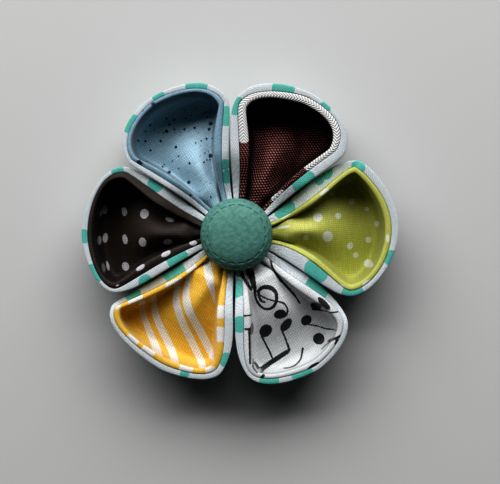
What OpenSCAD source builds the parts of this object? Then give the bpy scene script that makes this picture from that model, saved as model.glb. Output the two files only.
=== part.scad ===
// Flower lapel pin: six folded double-layer fabric petals round a covered button, with a pin at the back.
// It lies on its back: +Z is up and the petals open upward. The origin is under the flower's middle,
// on the surface that the petals' keels rest on. Millimetres.

/* [Petals] */
// Nominal distance from the flower's middle to a petal's tip
petal_reach = 40; // [37:0.5:43]
// Distance from the middle at which the petals' throats end
throat_radius = 6.5; // [6:0.1:7]
// Clear gap between the covers of two petals
petal_gap = 0.3; // [0.2:0.05:0.5]
// Clear gap between a petal's cover and its lining
layer_gap = 0.3; // [0.2:0.05:0.4]
// Thickness of the folded outer cover
cover_wall = 1.0; // [0.8:0.1:1.2]
// Thickness of the folded lining
lining_wall = 1.1; // [1:0.1:1.3]
// Height of the folded rim at a petal's shoulders
rim_height = 14; // [13:0.25:16]
// How much lower the rim is at the petal's tip
tip_drop = 0.6; // [0:0.1:1.5]
// How much lower the cover's rim is than the lining's
cover_drop = 0.5; // [0.2:0.1:1]
// Height of the throat's fold over its crease
throat_depth = 3.2; // [3:0.1:4]
// Height of the tongue, the ridge between the two creases, over the creases at the throat
tongue_height = 2.6; // [1.5:0.1:2.8]
// Nominal width of the lining's rolled rim
fold_width = 2; // [1.5:0.1:2.3]

/* [Button] */
// Diameter of the covered button
button_diameter = 18.2; // [17:0.1:19]
// Height of the button's face over its flat underside
button_height = 5.4; // [4:0.2:7]
// Radius of the button's lower edge
button_edge = 1.2; // [0.8:0.1:1.6]
// Diameter of the button's sewn shank
shank_diameter = 5; // [4:0.5:8]

/* [Pin back] */
// Diameter of the round pad
pad_diameter = 25; // [22:0.5:27]
// Thickness of the pad
pad_thickness = 1; // [0.8:0.1:1.5]
// Diameter of the pin's wire
wire_diameter = 1.2; // [0.8:0.1:1.5]
// Room for the garment's cloth between the wire and the pad
cloth_room = 1.8; // [1.2:0.1:2.5]
// Length of the pin over its two posts
pin_length = 23; // [18:0.5:23]
// Distance of the pin above the flower's middle
pin_offset = 3; // [0:0.5:4]
// Length of a post along the pin
post_length = 2; // [1.5:0.1:3]
// Width of a post across the pin
post_width = 3.2; // [2:0.1:4]
// Clear gap under the pin when the flower lies on its keels
floor_gap = 0.3; // [0.2:0.1:0.5]
// Clear gap where the pad, the petals and the button meet
seat_gap = 0.3; // [0.2:0.05:0.4]

/* [Hidden] */

// One row a petal, counterclockwise: name, axis in degrees, angle of the seam to the next petal,
// reach as a share of petal_reach, the band of cover at the tip and the lining's rolled rim at the
// tip as shares of fold_width, then how round the tip is for the cover and for the lining
PETAL = [
  ["lime",      3.5,  28.5, 1.02, 0.95, 0.80, 0.45, 0.55],
  ["oxblood",  62.0,  95.5, 1.00, 0.65, 0.95, 0.30, 0.20],
  ["blue",    122.0, 151.5, 1.01, 0.55, 0.50, 0.40, 0.30],
  ["brown",   179.5, 203.0, 0.97, 0.75, 0.55, 0.35, 0.40],
  ["yellow",  239.5, 267.5, 0.97, 0.70, 0.80, 0.20, 0.20],
  ["note",    301.0, 332.5, 0.99, 0.60, 0.65, 0.20, 0.25]
];
// Columns of PETAL
AXIS = 1;
SEAM = 2;
REACH = 3;
TIP_BAND = 4;
TIP_FOLD = 5;
TIP_COVER = 6;
TIP_LINING = 7;

// One row a petal for its left side, counterclockwise of the axis: the shoulder's place along the axis
// and its half width as shares of the petal's reach, the band of cover there and the lining's rolled rim
// on the flank as shares of fold_width, then the slope at the throat, the bow behind the shoulder and
// the bow before it, for the cover and again for the lining
LEFT = [
  [0.75, 0.41, 0.85, 0.65, 0.60, 0.30, 0.35, 0.25, 0.15, 0.10],
  [0.73, 0.40, 0.60, 1.25, 0.65, 0.15, 0.75, 0.40, 0.10, 0.60],
  [0.74, 0.33, 0.50, 0.70, 0.30, 0.10, 0.70, 0.25, 0.05, 0.70],
  [0.78, 0.38, 0.45, 1.15, 0.50, 0.25, 0.55, 0.35, 0.10, 0.55],
  [0.80, 0.37, 0.75, 1.00, 0.45, 0.35, 0.70, 0.30, 0.25, 0.70],
  [0.78, 0.33, 0.55, 1.10, 0.60, 0.25, 0.75, 0.35, 0.25, 0.65]
];
// The same for the right side
RIGHT = [
  [0.68, 0.42, 0.70, 0.75, 0.55, 0.25, 0.45, 0.00, 0.15, 0.45],
  [0.76, 0.36, 1.10, 0.70, 0.35, 0.10, 0.80, 0.20, 0.05, 1.00],
  [0.74, 0.40, 0.65, 1.00, 0.40, 0.10, 0.75, 0.25, 0.05, 0.75],
  [0.73, 0.43, 0.65, 1.15, 0.75, 0.15, 0.60, 0.45, 0.10, 0.70],
  [0.80, 0.46, 0.50, 0.70, 0.50, 0.05, 0.85, 0.25, 0.05, 0.90],
  [0.78, 0.40, 0.45, 0.95, 0.60, 0.30, 0.80, 0.40, 0.20, 0.65]
];
// Columns of LEFT and RIGHT; the last two name the first of three for the cover and for the lining
SHOULDER_AT = 0;
SHOULDER_OUT = 1;
SHOULDER_BAND = 2;
FLANK_FOLD = 3;
COVER_BOW = 4;
LINING_BOW = 7;

// Band of cover beside the lining at the throat, and the rolled rim there as a share of the flank's
throat_band = 1.15;
throat_fold = 0.6;
// The hollow's middle and the place where the keel comes down, as shares of the petal's reach
hollow_at = 0.72;
keel_at = 0.54;
// Shares of a wall's height at which it starts to turn in and of its width that then runs flat
wall_drop = 0.5;
turn_share = 0.65;
// How far the inner face goes in under the rolled rim
undercut = 0.3;
// How soon the spine's end runs ahead of the rim along a flank
spine_lead = 2.8;
// Length of the climb from the button's edge to the full rim height
climb = 12;
// Handle of a flank's curve at the throat, as a share of the flank's run
throat_handle = 0.5;
// Share of a flank over which its rolled rim widens, and places after it until the tip's width
fold_start = 0.5;
fold_end = 0.9;
// Height of the rolled rim as a share of its width
roll_rise = 0.55;
// Place of the throat's crease between the rim and the spine, and share of the inner face before it
crease_place = 0.15;
crease_share = 0.4;
// Share of the tongue's height that the lining's underside follows
tongue_back = 0.5;
// How far the cover's crown stands over its inner edge, and over its outer edge as a share of the band
crown_rise = 0.3;
crown_share = 0.7;
crown_most = 1.6;
// Distance outside the pad at which the keel starts to come down
keel_lead = 0.8;
// Exponent of the button's domed face: under 1 it is fuller than an ellipse
dome_power = 0.87;
// How far a post goes into the pad
post_root = 0.2;

button_radius = button_diameter / 2;
pad_radius = pad_diameter / 2;
wire_height = floor_gap + wire_diameter / 2;
pad_bottom = floor_gap + wire_diameter + cloth_room;
pad_top = pad_bottom + pad_thickness;
post_place = (pin_length - post_length) / 2;
throat_keel = pad_top + seat_gap;
throat_rim = throat_keel + cover_wall + layer_gap + lining_wall + throat_depth;
button_bottom = throat_rim + seat_gap;

// Places round a petal's rim: 0 left throat, 1 left shoulder, 2 tip, 3 right shoulder, 4 right throat
flank_steps = 8;
cap_steps = 8;
RIM = concat(
  [for (i = [0:flank_steps - 1]) i / flank_steps],
  [for (i = [0:2 * cap_steps]) 1 + i / cap_steps],
  [for (i = [1:flank_steps]) 3 + i / flank_steps]
);
LAST = len(RIM) - 1;
// Steps over a rolled rim, down an inner face, and along a plain wall
roll_steps = 4;
face_steps = 7;
wall_steps = 5;

function mix(a, b, share) = a + (b - a) * share;
function smooth(x) = let (s = min(max(x, 0), 1)) s * s * (3 - 2 * s);
function bow(a, b, c, d, s) =
  pow(1 - s, 3) * a + 3 * pow(1 - s, 2) * s * b + 3 * (1 - s) * s * s * c + pow(s, 3) * d;
function at(plan, height) = [plan.x, plan.y, height];

// A petal's own values
function reach(i) = PETAL[i][REACH] * petal_reach;
function side(i, place) = place < 2 ? LEFT[i] : RIGHT[i];
function seam_angle(i, place) =
  let (before = i == 0 ? PETAL[len(PETAL) - 1][SEAM] - 360 : PETAL[i - 1][SEAM])
  place < 2 ? PETAL[i][SEAM] - PETAL[i][AXIS] : PETAL[i][AXIS] - before;
function throat_half(i, place) = throat_radius * tan(seam_angle(i, place)) - petal_gap / 2;

// The outline's point at a place on the rim, from the throat to the shoulder and round to the tip
function outline(i, place, first, half, out, tip, round) =
  let (
    row = side(i, place),
    sign = place < 2 ? 1 : -1,
    share = min(place, 4 - place),
    throat = [throat_radius, sign * half],
    shoulder = [row[SHOULDER_AT] * reach(i), sign * out],
    end = [tip, 0],
    run = shoulder.x - throat_radius,
    slope = throat_handle * run * [1, sign * row[first]]
  )
  share <= 1
    ? bow(throat, throat + slope, shoulder - [row[first + 1] * run, 0], shoulder, share)
    : bow(
        shoulder,
        shoulder + [row[first + 2] * (tip - shoulder.x), 0],
        end + [0, shoulder.y * round],
        end,
        share - 1
      );
function cover_edge(i, place) =
  outline(
    i, place, COVER_BOW, throat_half(i, place),
    side(i, place)[SHOULDER_OUT] * reach(i),
    reach(i), PETAL[i][TIP_COVER]
  );
function lining_edge(i, place) =
  outline(
    i, place, LINING_BOW, throat_half(i, place) - throat_band,
    side(i, place)[SHOULDER_OUT] * reach(i) - side(i, place)[SHOULDER_BAND] * fold_width,
    reach(i) - PETAL[i][TIP_BAND] * fold_width, PETAL[i][TIP_LINING]
  );

// The spine: where the walls of the two sides meet, from the throat to the hollow's middle
function ahead(place) = 1 - pow(1 - min(place, 4 - place, 1), spine_lead);
function spine(i, place) = [mix(throat_radius, hollow_at * reach(i), ahead(place)), 0];
function keel_height(i, place) =
  let (start = pad_radius + keel_lead)
  throat_keel * (1 - smooth((spine(i, place).x - start) / (keel_at * reach(i) - start)));
function tongue(i, place) =
  let (run = hollow_at * reach(i) - button_radius)
  tongue_height * (1 - smooth((spine(i, place).x - button_radius) / run));
function rim_top(i, place) =
  let (
    out = norm(lining_edge(i, place)) - button_radius - seat_gap,
    full = rim_height - tip_drop * smooth(min(place, 4 - place) - 1)
  )
  mix(throat_rim, full, smooth(out / climb));
function fold(i, place) =
  let (share = min(place, 4 - place), flank = side(i, place)[FLANK_FOLD])
  fold_width * (share < fold_start
    ? flank * mix(throat_fold, 1, smooth(share / fold_start))
    : mix(flank, PETAL[i][TIP_FOLD], smooth((share - fold_start) / fold_end)));

// The lining's section at a place: up the inner face from the spine, over the rolled rim, back below
function lining_section(i, place) =
  let (
    edge = lining_edge(i, place),
    spine_at = spine(i, place),
    inward = (spine_at - edge) / norm(spine_at - edge),
    wide = norm(spine_at - edge),
    roll = fold(i, place),
    top = rim_top(i, place),
    side_height = top - roll_rise * roll,
    back = keel_height(i, place) + cover_wall + layer_gap,
    crease = back + lining_wall,
    ridge = crease + tongue(i, place),
    sharp = 1 - smooth(ahead(place)),
    crease_at = mix(roll, wide, crease_place),
    face = function (s) let (
        hollow = bow(
          [roll, side_height], [roll - undercut, mix(side_height, crease, wall_drop)],
          [(1 - turn_share) * wide + lining_wall, crease], [wide, ridge], s
        ),
        down = s / crease_share,
        up = 90 * (s - crease_share) / (1 - crease_share),
        creased = s < crease_share
          ? [mix(roll, crease_at, down), mix(side_height, crease, down)]
          : [wide - (wide - crease_at) * cos(up), mix(crease, ridge, sin(up))]
      ) mix(hollow, creased, sharp),
    under = function (s) bow(
        [0, side_height], [0, mix(side_height, back, wall_drop)],
        [(1 - turn_share) * wide, back], [wide, back + tongue_back * tongue(i, place)], s
      ),
    profile = concat(
      [for (k = [0:face_steps - 1]) face(1 - k / face_steps)],
      [for (k = [0:roll_steps]) let (turn = 180 * k / roll_steps)
        [roll / 2 * (1 + cos(turn)), side_height + roll_rise * roll * sin(turn)]],
      [for (k = [1:wall_steps]) under(k / wall_steps)]
    )
  )
  [for (point = profile) at(edge + inward * point[0], point[1])];

// The cover's section at a place: along the inner face from the spine, over the rim, down the outer wall
function cover_section(i, place) =
  let (
    edge = cover_edge(i, place),
    lining = lining_edge(i, place),
    spine_at = spine(i, place),
    inward = (spine_at - lining) / norm(spine_at - lining),
    turn_at = spine_at - inward * (turn_share * norm(spine_at - lining) + layer_gap),
    inner = lining - inward * layer_gap,
    band = norm(inner - edge),
    top = rim_top(i, place) - cover_drop,
    inner_top = top - crown_rise,
    outer_top = top - min(crown_share * band, crown_most),
    keel = keel_height(i, place),
    floor_top = keel + cover_wall,
    inner_wall = function (s) bow(
        at(inner, inner_top), at(inner, mix(inner_top, floor_top, wall_drop)),
        at(turn_at, floor_top), at(spine_at, floor_top), s
      ),
    outer_wall = function (s) bow(
        at(edge, outer_top), at(edge, mix(outer_top, keel, wall_drop)),
        at(turn_at - inward * cover_wall, keel), at(spine_at, keel), s
      )
  )
  concat(
    [for (k = [0:wall_steps - 1]) inner_wall(1 - k / wall_steps)],
    [for (k = [0:roll_steps]) let (turn = 180 * k / roll_steps, low = turn < 90 ? inner_top : outer_top)
      at(mix(inner, edge, (1 - cos(turn)) / 2), mix(low, top, sin(turn)))],
    [for (k = [1:wall_steps]) outer_wall(k / wall_steps)]
  );

// Closes the sections of one petal into a shell; the two ends of a section lie on the spine, where
// the left side's points serve the right side too
module shell(sections) {
  across = len(sections[0]);
  points = [for (section = sections) each section];
  function spine_row(row) = min(row, LAST - row, flank_steps);
  function point_at(row, column) =
    (column == 0 || column == across - 1 ? spine_row(row) : row) * across + column;
  skin = [
    for (row = [0:LAST - 1], column = [0:across - 2])
      let (
        a = point_at(row, column),
        b = point_at(row + 1, column),
        c = point_at(row + 1, column + 1),
        d = point_at(row, column + 1)
      )
      each [if (a != b) [a, b, c], if (c != d) [a, c, d]]
  ];
  // At the throat the inner points of a section are joined to the outer ones, side by side
  throat = [
    for (end = [0, LAST], column = [0:(across - 3) / 2])
      let (
        a = point_at(end, column),
        b = point_at(end, column + 1),
        c = point_at(end, across - 2 - column),
        d = point_at(end, across - 1 - column)
      )
      each end == 0 ? [if (b != c) [a, b, c], [a, c, d]] : [if (b != c) [c, b, a], [d, c, a]]
  ];
  polyhedron(points, concat(skin, throat), convexity = 6);
}

module cover(i) {
  color("whitesmoke") rotate([0, 0, PETAL[i][AXIS]]) shell([for (place = RIM) cover_section(i, place)]);
}

module lining(i, tint) {
  color(tint) rotate([0, 0, PETAL[i][AXIS]]) shell([for (place = RIM) lining_section(i, place)]);
}

// A domed face on a flat underside, with the shank that it is sewn on by
module button() {
  dome = button_height - button_edge;
  face = [for (turn = [0:7.5:90]) [
    button_radius * pow(cos(turn), dome_power),
    button_bottom + button_edge + dome * pow(sin(turn), dome_power)
  ]];
  lower = [for (turn = [-75:15:-15]) [
    button_radius - button_edge * (1 - cos(turn)),
    button_bottom + button_edge * (1 + sin(turn))
  ]];
  shank = [
    [0, throat_keel],
    [shank_diameter / 2, throat_keel],
    [shank_diameter / 2, button_bottom],
    [button_radius - button_edge, button_bottom]
  ];
  color("seagreen") rotate_extrude($fn = 72) polygon(concat(shank, lower, face));
}

// The round pad that the petals are fixed to, two posts under it and the pin between them
module pin_back() {
  color("silver") {
    translate([0, 0, pad_bottom]) cylinder(r = pad_radius, h = pad_thickness, $fn = 72);
    for (end = [-1, 1])
      translate([end * post_place - post_length / 2, pin_offset - post_width / 2, floor_gap])
        cube([post_length, post_width, pad_bottom - floor_gap + post_root]);
    translate([-post_place, pin_offset, wire_height])
      rotate([0, 90, 0]) cylinder(d = wire_diameter, h = 2 * post_place, $fn = 32);
  }
}

cover(0);  // cover_lime
cover(1);  // cover_oxblood
cover(2);  // cover_blue
cover(3);  // cover_brown
cover(4);  // cover_yellow
cover(5);  // cover_note
lining(0, "yellowgreen");  // lining_lime
lining(1, "darkred");  // lining_oxblood
lining(2, "lightskyblue");  // lining_blue
lining(3, "saddlebrown");  // lining_brown
lining(4, "gold");  // lining_yellow
lining(5, "gainsboro");  // lining_note
button();
pin_back();
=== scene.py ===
from math import cos, pi, radians, sin, sqrt
from types import SimpleNamespace

import bpy
import numpy as np
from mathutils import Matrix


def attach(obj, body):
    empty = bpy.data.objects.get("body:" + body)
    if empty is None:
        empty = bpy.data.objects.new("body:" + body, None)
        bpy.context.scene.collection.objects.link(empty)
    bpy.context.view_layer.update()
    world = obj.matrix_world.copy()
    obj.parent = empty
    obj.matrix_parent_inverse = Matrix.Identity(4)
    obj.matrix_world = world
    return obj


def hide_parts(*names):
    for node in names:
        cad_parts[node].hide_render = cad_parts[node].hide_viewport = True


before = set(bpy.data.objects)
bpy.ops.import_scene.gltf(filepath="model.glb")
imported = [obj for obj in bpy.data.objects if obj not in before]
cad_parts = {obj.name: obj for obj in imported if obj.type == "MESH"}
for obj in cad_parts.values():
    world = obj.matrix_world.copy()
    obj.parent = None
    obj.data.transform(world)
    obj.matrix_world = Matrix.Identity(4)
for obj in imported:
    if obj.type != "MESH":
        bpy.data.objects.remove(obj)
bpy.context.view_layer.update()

# The view: straight down on the flower, which lies on its back on a plain pale table. Soft daylight
# comes from a window beyond the flower's top, low enough to leave the upper petals' hollows in shade.
MM = 0.001
VIEW_MIDDLE = (3.4 * MM, -1.9 * MM)
VIEW_HEIGHT = 460 * MM
VIEW_WIDTH = 125 * MM
RIM_LEVEL = 14 * MM
SENSOR_WIDTH = 36
WINDOW_AROUND = radians(96)
WINDOW_UP = radians(38)
WINDOW_AWAY = 800 * MM
WINDOW_SIZE = (1400 * MM, 560 * MM)
WINDOW_WATTS = 10.5
ROOM_COLOUR = (0.95, 0.98, 1)
ROOM_LIGHT = 0.015
TABLE_SIZE = 4
TABLE_COLOUR = (0.56, 0.56, 0.555)
TABLE_ROUGHNESS = 0.9
scene = bpy.context.scene


def look_down():
    """A camera over the view's middle, whose lens takes in the view's width at the rims' level."""
    camera = bpy.data.cameras.new("camera")
    camera.sensor_width = SENSOR_WIDTH
    camera.lens = SENSOR_WIDTH * (VIEW_HEIGHT - RIM_LEVEL) / VIEW_WIDTH
    holder = bpy.data.objects.new("camera", camera)
    holder.location = (*VIEW_MIDDLE, VIEW_HEIGHT)
    scene.collection.objects.link(holder)
    scene.camera = holder


def open_window():
    """One large soft light that faces the flower's middle."""
    lamp = bpy.data.lights.new("window", "AREA")
    lamp.shape = "RECTANGLE"
    lamp.size, lamp.size_y = WINDOW_SIZE
    lamp.energy = WINDOW_WATTS
    window = bpy.data.objects.new("window", lamp)
    toward = (cos(WINDOW_UP) * cos(WINDOW_AROUND), cos(WINDOW_UP) * sin(WINDOW_AROUND), sin(WINDOW_UP))
    window.location = [WINDOW_AWAY * part for part in toward]
    window.rotation_euler = (pi / 2 - WINDOW_UP, 0, WINDOW_AROUND + pi / 2)
    scene.collection.objects.link(window)


def light_room():
    """A very dim light from all sides."""
    world = bpy.data.worlds.new("room")
    world.use_nodes = True
    background = world.node_tree.nodes["Background"]
    background.inputs["Color"].default_value = (*ROOM_COLOUR, 1)
    background.inputs["Strength"].default_value = ROOM_LIGHT
    scene.world = world


def lay_table():
    """The plain square table under the flower, which is no part of it."""
    bpy.ops.mesh.primitive_plane_add(size=TABLE_SIZE)
    table = bpy.context.object
    table.name = "table"
    paint = bpy.data.materials.new("table")
    paint.use_nodes = True
    shader = paint.node_tree.nodes["Principled BSDF"]
    shader.inputs["Base Color"].default_value = (*TABLE_COLOUR, 1)
    shader.inputs["Roughness"].default_value = TABLE_ROUGHNESS
    table.data.materials.append(paint)


look_down()
open_window()
light_room()
lay_table()
# The high contrast gives the deep blacks that the photo has in the upper cups
scene.view_settings.view_transform = "Standard"
scene.view_settings.look = "High Contrast"

# The outer covers: each petal's outside is a piece of white cotton with teal spots, folded round the
# lining into a cup with a rounded edge. Six of them are drawn together under the button and sewn to
# the pad. All lengths are in millimetres up to the mesh.
PETAL_REACH = 40
THROAT_RADIUS = 6.5
PETAL_GAP = 0.3
LAYER_GAP = 0.3
SEEN_GAP = 0.05
COVER_WALL = 1.0
LINING_WALL = 1.1
RIM_HEIGHT = 14
TIP_DROP = 0.6
COVER_DROP = 0.1
# How much lower than the others a cover's edge lies along one flank
LOW_COVERS = {
    ("lime", "left"): 2.2, ("yellow", "right"): 2.0, ("note", "left"): 2.0, ("brown", "right"): 1.2,
}
THROAT_DEPTH = 3.2
FOLD_WIDTH = 2
BUTTON_RADIUS = 9.1
PAD_RADIUS = 12.5
THROAT_KEEL = 4.6
THROAT_RIM = THROAT_KEEL + COVER_WALL + LAYER_GAP + LINING_WALL + THROAT_DEPTH
THROAT_BAND = 1.15
THROAT_FOLD = 0.6
HOLLOW_AT = 0.72
SPINE_POWER = 2.8
KEEL_AT = 0.54
KEEL_LEAD = 0.8
CLIMB = 12
HANDLE = 0.5
# Stretches of the rim, counted on each side from 0 at the throat over 1 at the shoulder to 2 at the tip
FOLD_GROWS = (0, 0.5)
FOLD_TURNS = (0.5, 1.4)
LOW_BEGINS = (0, 0.3)
LOW_ENDS = (0.75, 1.25)
TIP_DROPS = (1, 2)
# How far toward the spine and how far down the handles of the two walls' curves lie
OUTER_TURN = 0.15
OUTER_DROP = 0.70
INNER_TURN = 0.03
INNER_DROP = 0.97
# The rounded edge: its arch's power, how far below its top it ends inside, and outside as a share of
# its width, up to a most
CROWN_POWER = 0.65
CROWN_INSIDE = 0.15
CROWN_OUTSIDE = 0.2
CROWN_MOST = 0.5

# One row a petal: axis in degrees, angle of the seam to the next petal, reach, the cover's band and
# the lining's fold at the tip, and how round the tip is for the cover and for the lining
PETAL_COLUMNS = ("axis", "seam", "reach", "tip_band", "tip_fold", "tip_cover", "tip_lining")
PETALS = {
    "lime": (3.5, 28.5, 1.02, 0.95, 0.80, 0.45, 0.55),
    "oxblood": (62.0, 95.5, 1.00, 0.65, 0.95, 0.30, 0.20),
    "blue": (122.0, 151.5, 1.01, 0.55, 0.50, 0.40, 0.30),
    "brown": (179.5, 203.0, 0.97, 0.75, 0.55, 0.35, 0.40),
    "yellow": (239.5, 267.5, 0.97, 0.72, 0.80, 0.20, 0.20),
    "note": (301.0, 332.5, 0.99, 0.60, 0.65, 0.20, 0.25),
}
# One row a petal for its left side and one for its right: the shoulder's place and half width as
# shares of the reach, the cover's band there, the lining's fold on the flank, and the curves' slope
# at the throat, bow behind the shoulder and bow before it, for the cover and for the lining
SIDE_COLUMNS = (
    "shoulder_at", "shoulder_out", "shoulder_band", "flank_fold",
    "cover_slope", "cover_rear", "cover_front", "lining_slope", "lining_rear", "lining_front",
)
LEFT_SIDES = {
    "lime": (0.75, 0.41, 0.85, 0.65, 0.60, 0.30, 0.35, 0.25, 0.15, 0.10),
    "oxblood": (0.73, 0.40, 0.60, 1.25, 0.65, 0.15, 0.75, 0.40, 0.10, 0.60),
    "blue": (0.74, 0.33, 0.50, 0.70, 0.30, 0.10, 0.70, 0.25, 0.05, 0.70),
    "brown": (0.78, 0.38, 0.45, 1.15, 0.50, 0.25, 0.55, 0.35, 0.10, 0.55),
    "yellow": (0.80, 0.37, 0.75, 1.00, 0.45, 0.35, 0.70, 0.30, 0.25, 0.70),
    "note": (0.78, 0.33, 0.55, 1.10, 0.60, 0.25, 0.75, 0.35, 0.25, 0.65),
}
RIGHT_SIDES = {
    "lime": (0.68, 0.42, 0.70, 0.75, 0.55, 0.25, 0.45, 0.00, 0.15, 0.45),
    "oxblood": (0.76, 0.36, 1.10, 0.70, 0.35, 0.10, 0.80, 0.20, 0.05, 1.00),
    "blue": (0.74, 0.40, 0.65, 1.00, 0.40, 0.10, 0.75, 0.25, 0.05, 0.75),
    "brown": (0.73, 0.43, 0.65, 1.15, 0.75, 0.15, 0.60, 0.45, 0.10, 0.70),
    "yellow": (0.80, 0.46, 0.52, 0.70, 0.50, 0.05, 0.85, 0.25, 0.05, 0.90),
    "note": (0.78, 0.40, 0.45, 0.95, 0.60, 0.30, 0.80, 0.40, 0.20, 0.65),
}
NAMES = list(PETALS)
FLANK_ROWS = 110
CAP_ROWS = 80
COVER_COLUMNS = (10, 21, 34)
SEEN_OUTSIDE = 4

COVER_WHITE = (0.70, 0.75, 0.78)
COVER_SHADE = (0.60, 0.66, 0.69)
TEAL = (0.13, 0.55, 0.48)
TEAL_SHADE = (0.10, 0.46, 0.40)
COTTON_ROUGHNESS = 0.6
SHEEN_ROUGHNESS = 0.4
# Slubs: their size, places in the noise and range, and how they push the threads and fray the inks
SLUB_LONG = 3.0
SLUB_WIDE = 0.35
WARP_SEED = 3.1
WEFT_SEED = 8.7
SLUB_RANGE = (0.32, 0.68)
SLUB_PUSH = 9
SLUB_FRAY = 0.5
# The weave: the pillows' share of its height, its depth, and from low to high the painted shade
# between the threads and the painted light on their tops
PILLOWS = 0.6
WEAVE_DEPTH = 0.08
WEAVE_PAINTED_SHADE_AND_LIGHT = (-0.1, 0.6, 0.72, 1.12)
# Where the painted shade in the crease beside a rolled edge begins, in from the roll's foot
CREASE_PAINTED_SHADE_BEGINS = (-0.06, 0.06)
# Teal spots that show on each cover's edge: place in plan from the flower's middle, and radius
TEAL_SPOTS = {
    "lime": ((22.4, 15.5, 1.8), (20.7, 13.5, 1.2), (12.2, 6.4, 2.8), (30.4, 16.9, 1.9), (38.8, -5.9, 2.0),
             (29.2, -14.8, 2.8), (19.9, -9.0, 3.2)),
    "oxblood": ((11.7, 36.5, 2.9), (-0.2, 32.2, 2.4), (22.2, 31.7, 1.5), (17.0, 13.2, 3.2)),
    "blue": ((-10.1, 37.4, 2.8), (-19.7, 34.7, 1.6), (-26.5, 27.6, 2.5), (-2.6, 29.6, 2.5),
             (-2.8, 17.4, 1.4), (-2.3, 14.6, 1.8)),
    "brown": ((-29.7, 16.0, 1.6), (-38.2, -0.5, 1.8), (-35.5, -9.8, 2.5), (-20.2, 12.5, 2.0),
              (-15.0, -6.0, 3.0), (-22.5, -12.1, 1.9), (-11.8, 8.1, 0.5)),
    "yellow": ((-2.6, -31.4, 1.8), (-13.0, -34.8, 1.2), (-15.8, -9.3, 3.0), (-26.0, -15.1, 2.0)),
    "note": ((20.4, -13.5, 3.1), (8.3, -36.6, 2.5), (16.5, -35.1, 2.8), (0.8, -22.5, 2.1),
             (-0.1, -13.6, 2.5)),
}
# The same cloth's spots on the petals' backs: side of the square that holds one, radius, how much the
# radius differs, how far a spot lies off its square's middle, and how far below the rim they begin
BACK_SQUARE = 9.5
BACK_RADIUS = 2.2
BACK_UNEVEN = 0.7
BACK_WANDER = 1.3
BACK_BELOW = 5
BACK_STREWN = ((2.1, 3.7), (4.3, 1.9))


def mix(a, b, share):
    """The value at a share of the way from a to b."""
    return a + (b - a) * share


def smooth(x):
    """Runs from 0 to 1 with x and is level at both ends."""
    s = np.clip(x, 0, 1)
    return s * s * (3 - 2 * s)


def arch(turn):
    """The height of a flat-topped arch at angles from 0 to pi: a power of the sine."""
    return np.maximum(np.sin(turn), 0) ** CROWN_POWER


def rise_between(x, start, end):
    """Runs smoothly from 0 where x is at the start to 1 where it is at the end."""
    return smooth((x - start) / (end - start))


def bow(a, b, c, d, s):
    """The Bezier cubic from a to d with the handles b and c, at shares s of its run."""
    return (1 - s) ** 3 * a + 3 * (1 - s) ** 2 * s * b + 3 * (1 - s) * s**2 * c + s**3 * d


def rim_places():
    """Places round a rim: 0 left throat, 1 left shoulder, 2 tip, 3 right shoulder, 4 right throat."""
    left = np.linspace(0, 1, FLANK_ROWS, endpoint=False)
    cap = np.linspace(1, 3, 2 * CAP_ROWS, endpoint=False)
    right = np.linspace(3, 4, FLANK_ROWS + 1)
    return np.concatenate([left, cap, right])


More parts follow.
